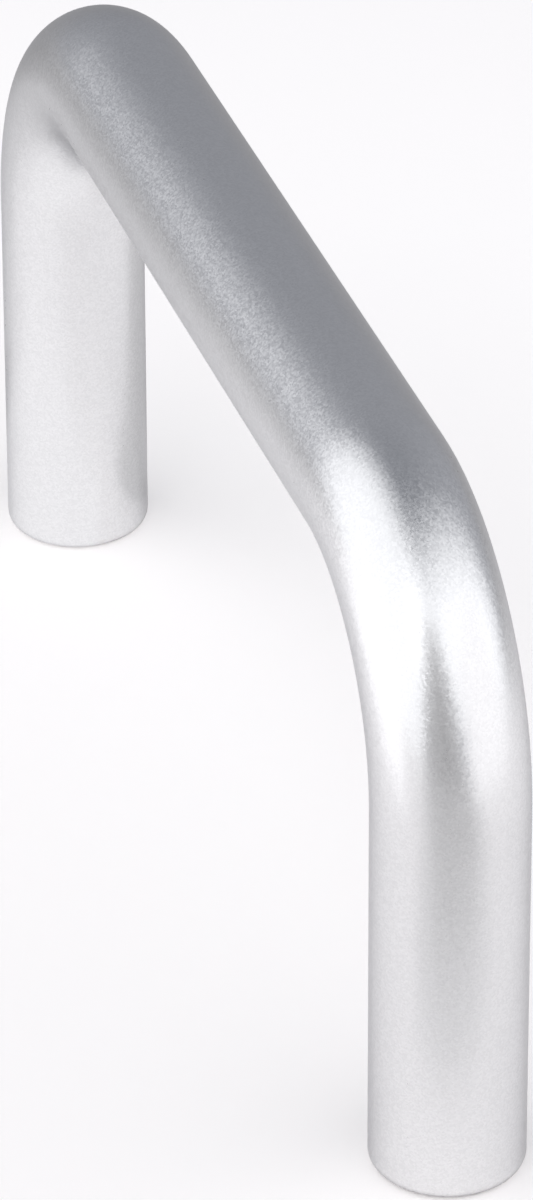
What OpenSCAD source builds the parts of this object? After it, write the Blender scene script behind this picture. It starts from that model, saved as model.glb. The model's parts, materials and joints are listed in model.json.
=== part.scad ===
// Bridge handle: one solid round bar, bent twice to a U.
// It stands on the two flat ends of its legs, which are drilled and countersunk for tapping.
// The origin lies midway between the legs on the mounting plane, +X runs along the grip and +Z points up.

/* [Bar] */
// Diameter of the round bar
bar_d = 12; // [10:0.5:16]
// Radius of each bend, to the middle of the bar
bend_r = 18; // [12:0.5:24]
// Radius that the rim of each end is rounded to
rim_r = 1; // [0.4:0.1:1.2]

/* [Reach] */
// Distance between the two screw holes, middle to middle
hole_spacing = 100; // [80:1:200]
// Height from the mounting plane to the top of the grip
height = 55; // [50:1:80]

/* [Screw holes] */
// Diameter that is drilled before the thread is cut
tap_drill_d = 5; // [3.3:0.1:6]
// Depth of the drilled wall, from the mounting plane
drill_depth = 18; // [10:0.5:20]
// Full angle of the cone that the drill's tip leaves
drill_tip_angle = 118; // [90:1:140]
// Diameter of the countersink at the hole's mouth
mouth_d = 6.6; // [6.2:0.1:7.6]
// Full angle of the countersink
mouth_angle = 90; // [60:1:120]

/* [Hidden] */
$fn = 96;

bar_r = bar_d / 2;
leg_x = hole_spacing / 2;
// Each bend turns about a point level with the leg's top and straight below the grip's end
grip_half = leg_x - bend_r;
grip_z = height - bar_r;
leg_top = grip_z - bend_r;

tap_drill_r = tap_drill_d / 2;
mouth_r = mouth_d / 2;
mouth_slope = tan(mouth_angle / 2);
mouth_depth = (mouth_r - tap_drill_r) / mouth_slope;
tip_depth = tap_drill_r / tan(drill_tip_angle / 2);
// How far the hole's cutter starts outside the end face
cut_over = 1;

// The +X half of a shape, and its mirror image at -X
module both_ends() {
    children();
    mirror([1, 0, 0])
        children();
}

// Upright leg, turned from a profile whose lower outer corner is an arc
module leg() {
    translate([leg_x, 0, 0])
        rotate_extrude() {
            square([bar_r - rim_r, leg_top]);
            translate([0, rim_r])
                square([bar_r, leg_top - rim_r]);
            translate([bar_r - rim_r, rim_r])
                circle(r = rim_r);
        }
}

// Quarter turn that carries the bar's section from the leg into the grip
module bend() {
    translate([grip_half, 0, leg_top])
        rotate([90, 0, 0])
            rotate_extrude(angle = 90)
                translate([bend_r, 0])
                    circle(r = bar_r);
}

// Level bar between the two bends
module grip() {
    translate([-grip_half, 0, grip_z])
        rotate([0, 90, 0])
            cylinder(r = bar_r, h = 2 * grip_half);
}

// Blind hole: countersunk mouth, drilled wall and the cone of the drill's tip
module tapping_hole() {
    translate([leg_x, 0, 0])
        rotate_extrude()
            polygon([
                [0, -cut_over],
                [mouth_r + cut_over * mouth_slope, -cut_over],
                [tap_drill_r, mouth_depth],
                [tap_drill_r, drill_depth],
                [0, drill_depth + tip_depth]
            ]);
}

module handle() {
    color("gainsboro")
        difference() {
            union() {
                grip();
                both_ends() {
                    bend();
                    leg();
                }
            }
            both_ends()
                tapping_hole();
        }
}

handle();
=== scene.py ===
# %% [markdown]
# # A bridge handle bent from round aluminium bar
# The real handle starts as a straight piece of solid round bar. It is bent twice to a U, cut flat and
# rounded at both ends, drilled and tapped there, and at last blasted and anodised, which leaves an even
# satin skin. This lesson loads the measured solid, builds the same bar again as one fine mesh with real
# threads in its holes, gives it its finishes and lights it as for a product picture.

# %% Load the measured solid
import json
import math

import bpy
import numpy as np
from mathutils import Matrix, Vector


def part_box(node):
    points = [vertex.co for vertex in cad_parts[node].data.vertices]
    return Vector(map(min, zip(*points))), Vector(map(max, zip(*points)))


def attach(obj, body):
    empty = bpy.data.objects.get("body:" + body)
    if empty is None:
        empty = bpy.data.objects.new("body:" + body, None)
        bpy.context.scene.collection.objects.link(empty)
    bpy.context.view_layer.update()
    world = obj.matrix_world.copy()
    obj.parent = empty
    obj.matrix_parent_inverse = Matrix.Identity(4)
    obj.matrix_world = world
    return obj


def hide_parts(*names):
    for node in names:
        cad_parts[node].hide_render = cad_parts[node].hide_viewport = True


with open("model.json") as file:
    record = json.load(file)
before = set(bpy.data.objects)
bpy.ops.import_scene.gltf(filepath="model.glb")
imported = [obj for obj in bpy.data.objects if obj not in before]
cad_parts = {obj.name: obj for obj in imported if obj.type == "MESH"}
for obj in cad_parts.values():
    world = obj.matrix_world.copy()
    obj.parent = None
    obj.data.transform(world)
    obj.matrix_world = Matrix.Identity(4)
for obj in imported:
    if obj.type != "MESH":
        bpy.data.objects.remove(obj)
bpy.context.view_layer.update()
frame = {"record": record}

# %% [markdown]
# ## Sizes
# Everything here is in metres, in the solid's own frame: the origin lies midway between the feet, +X runs
# along the grip and +Z points up. The solid's box gives the bar's radius and the height, and the record
# of its screw holes gives their spacing and drilled radius. The rest is written down once, in
# millimetres.

# %% Sizes of the bar and its holes
MM = 0.001
low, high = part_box("handle")
mounts = {mount["name"]: mount for mount in frame["record"]["mounts"]}
screw_hole = mounts["right_screw_hole"]

bar_r = (high.y - low.y) / 2
leg_x = screw_hole["pos_m"][0]
bend_r = 18 * MM
rim_r = 1.0 * MM

drill_r = screw_hole["dims"]["r_mm"] * MM
drill_depth = 18 * MM
drill_tip_angle = math.radians(118)
mouth_r = 3.3 * MM

grip_z = high.z - bar_r
grip_half = leg_x - bend_r
leg_top = grip_z - bend_r
bend_length = bend_r * math.pi / 2
bar_length = 2 * (grip_half + bend_length + leg_top)
print(f"bar {2000 * bar_r:.2f} mm thick and {1000 * bar_length:.1f} mm long along its middle")

# %% [markdown]
# ## The bar's middle line
# A bent bar is a round section carried along a path. The path could be a Bezier curve with a bevel, but a
# formula is exact and keeps its arcs round: seen from the middle of the grip, each half of the line runs
# level, turns through a quarter circle and drops straight to its foot. How far it has turned gives the
# point on the line and the direction across the bar that faces out of the U.

# %% The middle line as a formula
def middle_line(s):
    """Points of the bar's middle line and the outward directions there, for distances s from the left foot.

    With u the distance from the middle of the grip, the turn is u less the level run, over the bend's
    radius, kept between 0 and a quarter circle. Then x = level run + bend_r sin(turn), and
    z = leg_top + bend_r cos(turn), less whatever of u is left for the straight drop.
    """
    side = np.sign(s - bar_length / 2)
    u = np.abs(s - bar_length / 2)
    turn = np.clip((u - grip_half) / bend_r, 0, math.pi / 2)
    drop = np.maximum(u - grip_half - bend_length, 0)
    x = side * (np.minimum(u, grip_half) + bend_r * np.sin(turn))
    z = leg_top + bend_r * np.cos(turn) - drop
    flat = np.zeros_like(x)
    return np.stack([x, flat, z], -1), np.stack([side * np.sin(turn), flat, np.cos(turn)], -1)


ends = middle_line(np.array([0.0, bar_length / 2, bar_length]))[0]
print("left foot, middle of the grip and right foot:", ends.round(5).tolist())

# %% [markdown]
# ## The tapped hole
# An M6 screw thread has a pitch of 1 mm and flanks at 60 degrees. A texture could fake it, but a mesh
# made from it would have a smooth hole, so the groove is cut into the wall for real. The wall's radius is
# a function of two numbers, the depth and the angle round the hole, and a groove that climbs one pitch in
# a turn depends only on their sum. A tap can't cut to the bottom of a blind hole, so the groove runs out
# before it.

# %% Radius of the tapped wall
thread_pitch = 1.0 * MM
thread_major_r = 3.0 * MM
thread_depth = 15 * MM
thread_runout = 2 * MM
flank_slope = math.tan(math.radians(30))
groove_floor = thread_pitch / 8


def hole_radius(depth, angle, hand):
    """Radius of the hole's wall at a depth above the mouth and an angle round it, with hand +1 or -1.

    The place on the pitch is the depth in pitches plus the angle in turns. The cut is full across the
    groove's floor, and each flank then rises by one part for every flank_slope parts along the hole. It
    fades out over the runout. At the mouth a 90 degree countersink is wider than the thread.
    """
    place = (depth / thread_pitch + hand * angle / (2 * math.pi)) % 1
    off_middle = np.abs(place - 0.5) * thread_pitch - groove_floor / 2
    cut = thread_major_r - drill_r - np.maximum(off_middle, 0) / flank_slope
    fade = np.clip((thread_depth + thread_runout - depth) / thread_runout, 0, 1)
    countersink = mouth_r - depth
    return np.maximum(drill_r + np.maximum(cut, 0) * fade, countersink)


print(f"thread runs {1000 * thread_depth:.0f} mm deep at {1000 * thread_pitch:.1f} mm pitch")

# %% [markdown]
# ## One outline for the whole bar
# Follow a pencil line over the metal: it starts at the drill's tip inside the left leg, comes down the
# tapped wall, opens with the countersink, crosses the flat end, goes round the rim, runs along the whole
# bar and does the same in reverse at the other end. Each point of it has a distance along the bar and a
# radius, and turning it about the middle line gives the complete closed surface. The rim is a true
# quarter circle in many steps, because the eye reads how an edge was made from the soft line that its arc
# reflects.

# %% Rows of the outline at one end
AROUND = 128
angle = np.arange(AROUND) * 2 * math.pi / AROUND
ROWS_PER_PITCH = 10
RIM_ROWS = 13
EDGE_ROW = 0.1 * MM       # narrow rows inside the flat end's edges, so that smooth shading leaves it flat


def rim_rows():
    """Distance along the bar and radius of the rows round one rim, from the flat end to the bar's side.

    With t from 0 to 90 degrees, the distance is rim_r - rim_r cos t, and the radius is
    bar_r - rim_r + rim_r sin t.
    """
    t = np.linspace(0, math.pi / 2, RIM_ROWS)
    return rim_r - rim_r * np.cos(t), bar_r - rim_r + rim_r * np.sin(t)


def end_rows(hand):
    """Distance along the bar and radius of one end's rows, from the drilled wall's top to the bar's side."""
    thread_end = thread_depth + thread_runout
    wall = np.linspace(thread_end, 0, round(thread_end / thread_pitch * ROWS_PER_PITCH) + 1)
    wall = np.concatenate([[drill_depth], wall])
    wall_radius = hole_radius(wall[:, None], angle[None, :], hand)
    rim_along, rim_radius = rim_rows()
    flat_radius = np.array([mouth_r + EDGE_ROW, rim_radius[0] - EDGE_ROW])
    along = np.concatenate([wall, np.zeros(2), rim_along])
    plain = np.concatenate([flat_radius, rim_radius])[:, None]
    radius = np.concatenate([wall_radius, np.repeat(plain, AROUND, 1)])
    return along, radius, len(wall) - 1


left_along, left_radius, mouth_row = end_rows(hand=1)
right_along, right_radius, _ = end_rows(hand=-1)
print(f"{len(left_along)} rows in each end, and the hole's mouth is row {mouth_row}")

# %% [markdown]
# ## The swept surface
# Rows and angles make one grid. Every point is the middle line's point plus its radius times the cosine
# across the bar and the sine along Y, for all of them at once. The right end's rows are mirrored along
# the bar, with the thread's hand turned over so that both threads are right-handed. Two single points
# close the drill tips. The same step keeps where each point lay on the straight bar, because drawn bar
# has its marks along its length and those marks bend with it.

# %% Grid of the whole bar
LEG_ROWS, BEND_ROWS, GRIP_ROWS = 20, 48, 23

leg_rows = np.linspace(left_along[-1] + 2 * EDGE_ROW, leg_top, LEG_ROWS)
bend_rows = leg_top + np.linspace(0, bend_length, BEND_ROWS + 1)[1:]
grip_rows = np.linspace(leg_top + bend_length, bar_length / 2, GRIP_ROWS + 1)[1:]
half_rows = np.concatenate([leg_rows, bend_rows, grip_rows])
side_rows = np.concatenate([half_rows, bar_length - half_rows[-2::-1]])

along = np.concatenate([left_along, side_rows, bar_length - right_along[::-1]])
side_radius = np.full((len(side_rows), AROUND), bar_r)
radius = np.concatenate([left_radius, side_radius, right_radius[::-1]])


def sweep(s, r, phi):
    """Points at distance s, radius r and angle phi: middle point + r (cos phi outward + sin phi y)."""
    point, outward = middle_line(s)
    y_axis = np.array([0.0, 1.0, 0.0])
    out_part = (r * np.cos(phi))[..., None] * outward[:, None, :]
    y_part = (r * np.sin(phi))[..., None] * y_axis
    return point[:, None, :] + out_part + y_part


grid = sweep(along, radius, angle[None, :])
tip_depth = drill_depth + drill_r / math.tan(drill_tip_angle / 2)
tips = middle_line(np.array([tip_depth, bar_length - tip_depth]))[0]
points = np.concatenate([grid.reshape(-1, 3), tips])

straight_grid = np.broadcast_arrays(along[:, None], radius * np.cos(angle), radius * np.sin(angle))
straight_tips = np.array([[tip_depth, 0, 0], [bar_length - tip_depth, 0, 0]])
straight = np.concatenate([np.stack(straight_grid, -1).reshape(-1, 3), straight_tips])
print(f"{len(along)} rows of {AROUND} points")

# %% [markdown]
# ## The mesh
# Neighbouring rows are joined by squares, with the last angle joined to the first, and the first and last
# rows by triangles to the drill tips. A modifier could spin such a surface too, but only about a straight
# axis, and this one bends.

# %% Faces of the bar
ROWS = len(along)
row, col = np.meshgrid(np.arange(ROWS - 1), np.arange(AROUND), indexing="ij")
ahead = (col + 1) % AROUND
corner_rows = np.stack([row, row + 1, row + 1, row], -1)
corner_cols = np.stack([col, col, ahead, ahead], -1)
squares = (corner_rows * AROUND + corner_cols).reshape(-1, 4)
ring = np.arange(AROUND)
ring_ahead = (ring + 1) % AROUND
last_row = (ROWS - 1) * AROUND
left_tip = np.stack([np.full(AROUND, ROWS * AROUND), ring, ring_ahead], -1)
right_tip = np.stack([np.full(AROUND, ROWS * AROUND + 1), last_row + ring_ahead, last_row + ring], -1)

bar_mesh = bpy.data.meshes.new("bent_bar")
bar_mesh.from_pydata(points.tolist(), [], squares.tolist() + left_tip.tolist() + right_tip.tolist())
triangles = 2 * len(squares) + len(left_tip) + len(right_tip)
print(f"bent_bar: {len(points)} points, {triangles} triangles")

# %% [markdown]
# ## Edges and finishes, row by row
# Shading is smooth everywhere but at the hole's mouth and at the foot of the drill's cone, whose edges are
# marked sharp. The faces know from their row what they are: the blasted skin, or metal that was cut. The
# finished piece then takes the solid's place in the frame.

# %% Sharp edges, finishes and the finished piece
bar_mesh.shade_smooth()
edge_points = np.empty(2 * len(bar_mesh.edges), np.int32)
bar_mesh.edges.foreach_get("vertices", edge_points)
edge_rows = edge_points.reshape(-1, 2) // AROUND
sharp_rows = [0, mouth_row, ROWS - 1 - mouth_row, ROWS - 1]
on_sharp_row = (edge_rows[:, 0] == edge_rows[:, 1]) & np.isin(edge_rows[:, 0], sharp_rows)
bar_mesh.attributes.new("sharp_edge", "BOOLEAN", "EDGE").data.foreach_set("value", on_sharp_row)
bar_mesh.attributes.new("straight_bar", "FLOAT_VECTOR", "POINT").data.foreach_set("vector", straight.ravel())

SKIN, CUT = 0, 1
cut_rows = len(left_along) - RIM_ROWS
is_cut = (row < cut_rows) | (row >= ROWS - 1 - cut_rows)
finish_of_face = np.concatenate([np.where(is_cut, CUT, SKIN).ravel(), np.full(2 * AROUND, CUT)])
bar_mesh.polygons.foreach_set("material_index", finish_of_face.astype(np.int32))
bar_mesh.update()

bar = bpy.data.objects.new("bent_bar", bar_mesh)
bpy.context.collection.objects.link(bar)
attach(bar, "root")
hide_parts("handle")
print(f"bent_bar: {on_sharp_row.sum()} sharp edges, {is_cut.sum()} squares of cut metal")

# %% [markdown]
# ## Three helpers for finishes
# Colours are written as sRGB hex values, as a picture editor shows them, and Blender's shaders need them
# linear, so one function converts them. A second one adds a node with its settings and links in one line,
# and a third starts an empty material.

# %% Colour and node helpers
def linear(hex_colour):
    """An sRGB hex colour as linear red, green, blue and alpha.

    A coded value up to 0.04045 is divided by 12.92. Above that, 0.055 is added, the sum is divided by
    1.055 and raised to the power 2.4.
    """
    coded = np.array([int(hex_colour[i:i + 2], 16) for i in (1, 3, 5)]) / 255
    rgb = np.where(coded <= 0.04045, coded / 12.92, ((coded + 0.055) / 1.055) ** 2.4)
    return (*rgb.tolist(), 1.0)


def add(tree, kind, inputs=None, **settings):
    """Adds a node: settings are its properties, inputs are values or other outputs for its sockets."""
    node = tree.nodes.new(kind)
    for name, value in settings.items():
        setattr(node, name, value)
    for name, value in (inputs or {}).items():
        if isinstance(value, bpy.types.NodeSocket):
            tree.links.new(value, node.inputs[name])
        else:
            node.inputs[name].default_value = value
    return node


def new_material(name):
    """An empty node material and its tree."""
    material = bpy.data.materials.new(name)
    material.use_nodes = True
    material.node_tree.nodes.clear()
    return material, material.node_tree


print("white is", linear("#FFFFFF"), "and mid grey is", [round(c, 3) for c in linear("#808080")])

# %% [markdown]
# ## Blasted and anodised skin
# Glass beads leave the aluminium covered in tiny dimples, and the clear oxide that anodising grows on it
# keeps them. To the eye it is a bright grey metal with no sharp reflections, a fine grain where light
# meets shade, and hardly any variation of colour. A bump map of such small dimples is averaged away in
# the render, so each dimple is a Voronoi cell instead, whose random colour leans the surface one way like
# a small facet. The grain is the same in all directions, so it reads plain Object coordinates. Only the
# faint die lines of the drawn bar follow its length, and they read the straight bar's coordinates.

# %% Material of the skin
DIMPLE = 0.15 * MM        # real dimples are near 0.1 mm, drawn coarser so that they show
DIMPLE_LEAN = 0.066       # full spread of the facets' lean, as a slope
MOTTLE = 1.8 * MM         # patches where the etch bit a little more or less
MOTTLE_SHARE = 0.2        # their share in the grain of the colour
DIE_LINE = 0.35 * MM      # spacing of the drawn bar's lines round the bar
DIE_LINE_LENGTH = 40 * MM


def blasted_anodised_aluminium():
    """Satin aluminium: metallic, roughness near 0.31, with fine grain in its lean, colour and roughness."""
    material, tree = new_material("blasted_anodised_aluminium")
    place = add(tree, "ShaderNodeTexCoord").outputs["Object"]
    on_bar = add(tree, "ShaderNodeAttribute", attribute_name="straight_bar").outputs["Vector"]

    dimples = add(tree, "ShaderNodeTexVoronoi", {"Vector": place, "Scale": 1 / DIMPLE}).outputs["Color"]
    speck = add(tree, "ShaderNodeSeparateColor", {"Color": dimples}).outputs["Red"]
    mottle = add(tree, "ShaderNodeTexNoise",
                 {"Vector": place, "Scale": 1 / MOTTLE, "Detail": 3.0, "Roughness": 0.6}).outputs["Fac"]
    stretch = add(tree, "ShaderNodeMapping",
                  {"Vector": on_bar, "Scale": (1 / DIE_LINE_LENGTH, 1 / DIE_LINE, 1 / DIE_LINE)})
    die_lines = add(tree, "ShaderNodeTexNoise",
                    {"Vector": stretch.outputs["Vector"], "Scale": 1.0, "Detail": 1.0}).outputs["Fac"]

    grain = add(tree, "ShaderNodeMix", {"Factor": MOTTLE_SHARE, "A": speck, "B": mottle})
    colour = add(tree, "ShaderNodeMix",
                 {"Factor": grain.outputs["Result"], "A": linear("#E0E0E1"), "B": linear("#ECECED")},
                 data_type="RGBA")
    lined = add(tree, "ShaderNodeMath", {0: speck, 1: die_lines}, operation="ADD")
    roughness = add(tree, "ShaderNodeMapRange",
                    {"Value": lined.outputs["Value"], "From Max": 2.0, "To Min": 0.26, "To Max": 0.36})

    centred = add(tree, "ShaderNodeVectorMath", {0: dimples, 1: (0.5, 0.5, 0.5)}, operation="SUBTRACT")
    normal = add(tree, "ShaderNodeNewGeometry").outputs["Normal"]
    leaning = add(tree, "ShaderNodeVectorMath",
                  {0: centred.outputs["Vector"], 1: (DIMPLE_LEAN,) * 3, 2: normal}, operation="MULTIPLY_ADD")
    facet = add(tree, "ShaderNodeVectorMath", {0: leaning.outputs["Vector"]}, operation="NORMALIZE")
    surface = add(tree, "ShaderNodeBsdfPrincipled",
                  {"Base Color": colour.outputs["Result"], "Specular Tint": linear("#C8C8C9"),
                   "Metallic": 1.0, "Roughness": roughness.outputs["Result"],
                   "Normal": facet.outputs["Vector"]})
    add(tree, "ShaderNodeOutputMaterial", {"Surface": surface.outputs["BSDF"]})
    return material


bar_mesh.materials.append(blasted_anodised_aluminium())
print("skin:", bar_mesh.materials[SKIN].name)

# %% [markdown]
# ## Turned and tapped metal
# The ends were faced on a lathe and the holes drilled and tapped, so that metal shows the tool's path:
# fine rings round the hole, one for each turn of the work. Their distance from the hole's middle is known
# from the straight bar's coordinates, and a sine of it makes the rings. The anodising covers them too, a
# little shinier.

# %% Material of the cut ends and holes
FEED = 0.14 * MM          # from one ring to the next
RING_DEPTH = 0.01 * MM
SMEAR = 0.8 * MM          # patches where the tool rubbed more or less


def turned_anodised_aluminium():
    """Faced aluminium: concentric feed rings in the bump, smoother and a little brighter than the skin."""
    material, tree = new_material("turned_anodised_aluminium")
    on_bar = add(tree, "ShaderNodeAttribute", attribute_name="straight_bar").outputs["Vector"]
    cross = add(tree, "ShaderNodeVectorMath", {0: on_bar, 1: (0.0, 1.0, 1.0)}, operation="MULTIPLY")
    distance = add(tree, "ShaderNodeVectorMath", {0: cross.outputs["Vector"]}, operation="LENGTH")
    turns = add(tree, "ShaderNodeMath",
                {0: distance.outputs["Value"], 1: 2 * math.pi / FEED}, operation="MULTIPLY")
    rings = add(tree, "ShaderNodeMath", {0: turns.outputs["Value"]}, operation="SINE")
    smear = add(tree, "ShaderNodeTexNoise", {"Vector": on_bar, "Scale": 1 / SMEAR, "Detail": 2.0})
    roughness = add(tree, "ShaderNodeMapRange",
                    {"Value": smear.outputs["Fac"], "To Min": 0.2, "To Max": 0.38})
    bump = add(tree, "ShaderNodeBump",
               {"Height": rings.outputs["Value"], "Strength": 0.25, "Distance": RING_DEPTH})
    surface = add(tree, "ShaderNodeBsdfPrincipled",
                  {"Base Color": linear("#E9EAEB"), "Metallic": 1.0,
                   "Roughness": roughness.outputs["Result"], "Normal": bump.outputs["Normal"]})
    add(tree, "ShaderNodeOutputMaterial", {"Surface": surface.outputs["BSDF"]})
    return material


bar_mesh.materials.append(turned_anodised_aluminium())
print("cut ends:", bar_mesh.materials[CUT].name)

# %% [markdown]
# ## The camera
# The picture looks down on the handle almost along its length, through a long lens. Its angles, distance
# and lens were fitted so that the drawn outline of the bent bar covers the pictured one. Azimuth 0 looks
# along +Y, and the axes of the camera are worked out from its two angles and a slight roll.

# %% Camera at the picture's viewing angle
AZIMUTH = math.radians(72.78)
ELEVATION = math.radians(31.08)
ROLL = math.radians(-0.22)
DISTANCE = 610.8 * MM
TARGET = np.array([4.585, 0.0, 22.884]) * MM
LENS_MM = 232.82

away = np.array([math.sin(AZIMUTH), -math.cos(AZIMUTH), 0.0])
right = np.array([math.cos(AZIMUTH), math.sin(AZIMUTH), 0.0])
z_axis = np.array([0.0, 0.0, 1.0])


def placed(obj, x_axis, y_axis, back, point):
    """Sets an object's matrix from its three axes and its place."""
    matrix = np.eye(4)
    matrix[:3, :4] = np.stack([x_axis, y_axis, back, point], 1)
    obj.matrix_world = Matrix(matrix.tolist())


back = away * math.cos(ELEVATION) + z_axis * math.sin(ELEVATION)
up = np.cross(back, right)
rolled_right = right * math.cos(ROLL) + up * math.sin(ROLL)
rolled_up = up * math.cos(ROLL) - right * math.sin(ROLL)

lens = bpy.data.cameras.new("camera")
lens.lens = LENS_MM
lens.clip_start = 10 * MM
camera = bpy.data.objects.new("camera", lens)
bpy.context.collection.objects.link(camera)
placed(camera, rolled_right, rolled_up, back, TARGET + back * DISTANCE)
bpy.context.scene.camera = camera
print("camera at", [round(float(c), 3) for c in camera.matrix_world.translation])

# %% [markdown]
# ## The floor
# Metal shows its surroundings, so they are built to be mirrored. The handle stands on a plain pale table.
# Lamps light a table unevenly, and that is painted on as a glow: where the camera or the metal sees it,
# painted light lifts it a little toward white, more at the back than in front. The lift leaves the
# handle's shadow on it. Farther out the camera sees it fade into the pale backdrop, so no edge shows
# from any side.

# %% Floor
FLOOR_HALF = 3.0
FLOOR_GAP = 0.02 * MM     # keeps the floor's face just clear of the feet
# the lift is painted light: a glow that stands in for lamp light falling unevenly on the table
LIFT_REACH = 100 * MM     # from here in front of the origin to here behind it the lift grows
FRONT_LIFT = 0.04
BACK_LIFT = 0.22
FADE_START = 150 * MM     # from this distance on, the camera sees the floor fade into the backdrop
FADE_END = 400 * MM
BACKDROP = "#FAF9FA"


def flat_card(name, corners, material):
    """A stage surface of one square face with four corners."""
    mesh = bpy.data.meshes.new(name)
    mesh.from_pydata(np.asarray(corners, float).tolist(), [], [(0, 1, 2, 3)])
    mesh.materials.append(material)
    card = bpy.data.objects.new(name, mesh)
    bpy.context.collection.objects.link(card)
    return card


def matt_white_table_painted_glow():
    """Matt white plus a painted glow that grows toward the back, painted light which only camera rays and
    reflections see.

    For the camera it fades into the backdrop with the distance from the origin.
    """
    material, tree = new_material("matt_white_table_painted_glow")
    place = add(tree, "ShaderNodeTexCoord").outputs["Object"]
    nearer = add(tree, "ShaderNodeVectorMath", {0: place, 1: away.tolist()}, operation="DOT_PRODUCT")
    lift = add(tree, "ShaderNodeMapRange",
               {"Value": nearer.outputs["Value"], "From Min": -LIFT_REACH, "From Max": LIFT_REACH,
                "To Min": BACK_LIFT, "To Max": FRONT_LIFT})
    path = add(tree, "ShaderNodeLightPath")
    seen = add(tree, "ShaderNodeMath",
               {0: path.outputs["Is Camera Ray"], 1: path.outputs["Is Glossy Ray"]}, operation="MAXIMUM")
    strength = add(tree, "ShaderNodeMath",
                   {0: seen.outputs["Value"], 1: lift.outputs["Result"]}, operation="MULTIPLY")
    matt = add(tree, "ShaderNodeBsdfDiffuse", {"Color": linear("#FAF7F6")})
    glow = add(tree, "ShaderNodeEmission",
               {"Color": linear("#FFFFFF"), "Strength": strength.outputs["Value"]})
    near = add(tree, "ShaderNodeAddShader", {0: matt.outputs["BSDF"], 1: glow.outputs["Emission"]})

    distance = add(tree, "ShaderNodeVectorMath", {0: place}, operation="LENGTH")
    fade = add(tree, "ShaderNodeMapRange",
               {"Value": distance.outputs["Value"], "From Min": FADE_START, "From Max": FADE_END},
               interpolation_type="SMOOTHSTEP")
    faded = add(tree, "ShaderNodeMath",
                {0: fade.outputs["Result"], 1: path.outputs["Is Camera Ray"]}, operation="MULTIPLY")
    far = add(tree, "ShaderNodeEmission", {"Color": linear(BACKDROP)})
    surface = add(tree, "ShaderNodeMixShader",
                  {"Fac": faded.outputs["Value"], 1: near.outputs["Shader"], 2: far.outputs["Emission"]})
    add(tree, "ShaderNodeOutputMaterial", {"Surface": surface.outputs["Shader"]})
    return material


square = np.array([[-1, -1], [1, -1], [1, 1], [-1, 1]]) * FLOOR_HALF
flat_card("floor", np.c_[square, np.full(4, -FLOOR_GAP)], matt_white_table_painted_glow())
print("floor", 2 * FLOOR_HALF, "m wide, lifted by", FRONT_LIFT, "in front and", BACK_LIFT, "behind")

# %% [markdown]
# ## The room
# An evenly grey world would be simpler, but a studio is darker toward its ceiling, and the top of the grip
# shows that. In the room's place the camera sees a pale backdrop, while the metal keeps its surroundings.

# %% Room
def grey_room():
    """A world that goes from mid grey to darker overhead by the square of the direction's height.

    The camera sees a pale backdrop in its place.
    """
    world = bpy.data.worlds.new("grey_room")
    world.use_nodes = True
    tree = world.node_tree
    tree.nodes.clear()
    direction = add(tree, "ShaderNodeTexCoord").outputs["Generated"]
    height = add(tree, "ShaderNodeSeparateXYZ", {"Vector": direction}).outputs["Z"]
    rise = add(tree, "ShaderNodeMath", {0: height, 1: height}, operation="MULTIPLY")
    grey = add(tree, "ShaderNodeMix",
               {"Factor": rise.outputs["Value"], "A": linear("#A6A8AE"), "B": linear("#7F8289")},
               data_type="RGBA")
    seen = add(tree, "ShaderNodeLightPath").outputs["Is Camera Ray"]
    colour = add(tree, "ShaderNodeMix",
                 {"Factor": seen, "A": grey.outputs["Result"], "B": linear(BACKDROP)}, data_type="RGBA")
    surface = add(tree, "ShaderNodeBackground", {"Color": colour.outputs["Result"]})
    add(tree, "ShaderNodeOutputWorld", {"Surface": surface.outputs["Background"]})
    return world


bpy.context.scene.world = grey_room()
bpy.context.scene.view_settings.view_transform = "Standard"
print("world:", bpy.context.scene.world.name)

# %% [markdown]
# ## Softboxes
# Two big oval softboxes light the handle, left and right of the camera with a gap between them. On the
# front bend they draw two long lobes, and the gap between the lamps is the dark line between the lobes. A
# hard-edged lamp would give the lobes outlines that satin metal doesn't show, so each lamp fades out
# toward its rim.

# %% Two softboxes
def seen_from_handle(azimuth, elevation):
    """Sideways, upward and facing directions of a thing seen from the handle, azimuth from the camera.

    The level direction is away cos(turn) + right sin(turn), and facing is level cos(rise) + z sin(rise).
    """
    turn = math.radians(azimuth)
    rise = math.radians(elevation)
    level = away * math.cos(turn) + right * math.sin(turn)
    sideways = right * math.cos(turn) - away * math.sin(turn)
    facing = level * math.cos(rise) + z_axis * math.sin(rise)
    return sideways, np.cross(facing, sideways), facing


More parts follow.
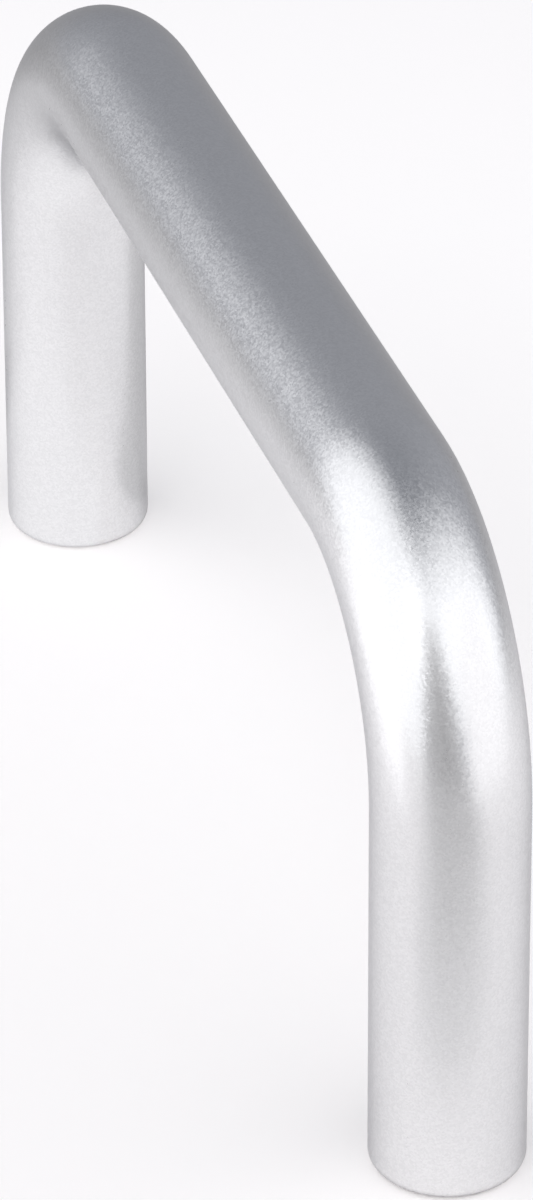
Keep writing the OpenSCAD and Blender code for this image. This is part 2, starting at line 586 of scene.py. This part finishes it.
def softbox(name, azimuth, elevation, roll, half_width, half_height, distance, softness, radiance):
    """An oval lamp that faces the handle, with angles in degrees and azimuth counted from the camera.

    In parts of its half size, the light is full up to 1 - softness, half at 1 and gone at 1 + softness.
    An even lamp's power is pi times its area times its radiance.
    """
    sideways, upward, facing = seen_from_handle(azimuth, elevation)
    lean = math.radians(roll)
    x_axis = sideways * math.cos(lean) + upward * math.sin(lean)
    y_axis = upward * math.cos(lean) - sideways * math.sin(lean)
    light = bpy.data.lights.new(name, "AREA")
    light.shape = "ELLIPSE"
    light.size = 2 * half_width * (1 + softness)
    light.size_y = 2 * half_height * (1 + softness)
    light.energy = math.pi * (math.pi / 4 * light.size * light.size_y) * radiance

    light.use_nodes = True
    tree = light.node_tree
    tree.nodes.clear()
    on_lamp = add(tree, "ShaderNodeNewGeometry").outputs["Parametric"]
    off_middle = add(tree, "ShaderNodeVectorMath", {0: on_lamp, 1: (0.5, 0.5, 0.0)}, operation="DISTANCE")
    fade = add(tree, "ShaderNodeMapRange",
               {"Value": off_middle.outputs["Value"], "From Min": 0.5 * (1 - softness) / (1 + softness),
                "From Max": 0.5, "To Min": 1.0, "To Max": 0.0}, interpolation_type="SMOOTHSTEP")
    glow = add(tree, "ShaderNodeEmission", {"Color": linear("#FFFFFF"), "Strength": fade.outputs["Result"]})
    add(tree, "ShaderNodeOutputLight", {"Surface": glow.outputs["Emission"]})

    lamp = bpy.data.objects.new(name, light)
    bpy.context.collection.objects.link(lamp)
    lamp.visible_camera = False
    placed(lamp, x_axis, y_axis, facing, facing * distance)
    print(f"{name}: {light.size:.2f} by {light.size_y:.2f} m, {light.energy:.1f} W")


softbox("left_softbox", azimuth=-67, elevation=25.3, roll=-45, half_width=0.68, half_height=0.515,
        distance=0.45, softness=0.43, radiance=0.94)
softbox("right_softbox", azimuth=51, elevation=38.9, roll=-19, half_width=0.81, half_height=0.28,
        distance=0.45, softness=1.0, radiance=1.16)

# %% [markdown]
# ## Cards for the reflections
# A product photographer shapes the reflections in metal with cards. Here the cards are painted
# reflections: plain glowing faces that only reflections see, bright ones as painted light and dim ones as
# painted shade. A lamp would light the floor too, while these cast no shadow and give the floor no light.
# Some stand upright and some lie on the floor, and each is placed by its azimuth, counted from the
# camera, and by its distances.

# %% Upright and lying cards
# the colour of every painted reflection
CARD_COLOUR = "#FDFCFE"
CARD_LIFT = 0.2 * MM      # lying cards are one or more of these above the floor, and so above each other


def reflected_card(name, corners, radiance):
    """A card with four corners that glows evenly at a given level, a painted reflection seen in reflections
    alone.
    """
    material, tree = new_material(name)
    glow = add(tree, "ShaderNodeEmission", {"Color": linear(CARD_COLOUR), "Strength": radiance})
    add(tree, "ShaderNodeOutputMaterial", {"Surface": glow.outputs["Emission"]})
    card = flat_card(name, corners, material)
    card.visible_camera = False
    card.visible_diffuse = False
    card.visible_shadow = False
    card.visible_transmission = False
    print(f"{name}: level {radiance:.2f}")


def upright_card(name, azimuth, side, distance, low_half, top_half, height, radiance):
    """A card that stands on the floor: its half widths are low_half there and top_half at its height."""
    sideways, _, facing = seen_from_handle(azimuth, 0)
    foot = facing * distance + sideways * side
    top = foot + z_axis * height
    low_corners = [foot - sideways * low_half, foot + sideways * low_half]
    top_corners = [top + sideways * top_half, top - sideways * top_half]
    reflected_card(name, low_corners + top_corners, radiance)


def lying_card(name, azimuth, side, near, far, near_half, far_half, layer, radiance):
    """A card that lies on the floor from near to far along an azimuth, with a half width at each end."""
    sideways, _, facing = seen_from_handle(azimuth, 0)
    start = facing * near + sideways * side + z_axis * layer * CARD_LIFT
    stop = start + facing * (far - near)
    near_corners = [start - sideways * near_half, start + sideways * near_half]
    far_corners = [stop + sideways * far_half, stop - sideways * far_half]
    reflected_card(name, near_corners + far_corners, radiance)


print(f"cards of {CARD_COLOUR}, lying ones {1000 * CARD_LIFT:.1f} mm apart")

# %% [markdown]
# ## Cards at the sides and in front
# Two bright cards at the sides are painted light that the legs' flanks mirror. A dim flag in front is
# painted shade: in reflections it hides both softboxes and draws the dark wedge below the lobes. A dim card
# on the floor, also painted shade, carries that wedge down the front leg, and a paler border round it
# softens its edges. One more on the left is painted shade that darkens what the grip mirrors there.

# %% Cards at the sides and in front
# painted light at both sides, seen in reflections only
upright_card("left_painted_light_card", azimuth=-67, side=0, distance=100 * MM, low_half=61 * MM, top_half=61 * MM,
             height=38 * MM, radiance=1.43)
upright_card("right_painted_light_card", azimuth=51, side=0, distance=200 * MM, low_half=90 * MM, top_half=90 * MM,
             height=200 * MM, radiance=1.26)
# painted shade in front and on the left, seen in reflections only
upright_card("front_painted_shade_flag", azimuth=0, side=-16 * MM, distance=300 * MM, low_half=132 * MM, top_half=45 * MM,
             height=335 * MM, radiance=0.43)
lying_card("front_floor_painted_shade_border", azimuth=0, side=20 * MM, near=70 * MM, far=280 * MM, near_half=30 * MM,
           far_half=172 * MM, layer=1, radiance=0.84)
lying_card("front_floor_painted_shade", azimuth=0, side=20 * MM, near=88 * MM, far=280 * MM, near_half=23 * MM,
           far_half=146 * MM, layer=2, radiance=0.63)
lying_card("left_floor_painted_shade", azimuth=-90, side=0, near=170 * MM, far=2000 * MM, near_half=1000 * MM,
           far_half=2000 * MM, layer=1, radiance=0.62)

# %% [markdown]
# ## Cards behind the handle
# Behind the handle, dim cards are painted shade that makes the floor go dimmer with distance, in steps
# that the satin metal blurs to one soft fade along the grip's lower edge. Three small cards lie round the
# back leg: a bright one of painted light and a dim one of painted shade at its sides make it look round,
# and another bright one is painted light on the outside of its bend.

# %% Cards behind the handle
BACK_STEPS = 5
FIRST_EDGE = 60 * MM
STEP_LENGTH = 30 * MM
FIRST_LEVEL = 0.82
LEVEL_DROP = 0.08
BACK_REACH = 2000 * MM

# painted shade on the floor behind, dimmer step by step, seen in reflections only
for step in range(BACK_STEPS):
    lying_card(f"back_floor_painted_shade_{step + 1}", azimuth=176, side=0, near=FIRST_EDGE + STEP_LENGTH * step,
               far=BACK_REACH, near_half=BACK_REACH, far_half=BACK_REACH, layer=2 + step,
               radiance=FIRST_LEVEL - LEVEL_DROP * step)
# painted light and painted shade round the back leg and its bend, seen in reflections only
lying_card("back_leg_light", azimuth=-135, side=0, near=25 * MM, far=70 * MM, near_half=18 * MM,
           far_half=26 * MM, layer=1, radiance=1.08)
lying_card("back_leg_shade", azimuth=120, side=40 * MM, near=18 * MM, far=75 * MM, near_half=7 * MM,
           far_half=15 * MM, layer=4, radiance=0.68)
lying_card("back_bend_light", azimuth=-152, side=0, near=78 * MM, far=145 * MM, near_half=22 * MM,
           far_half=26 * MM, layer=8, radiance=0.95)
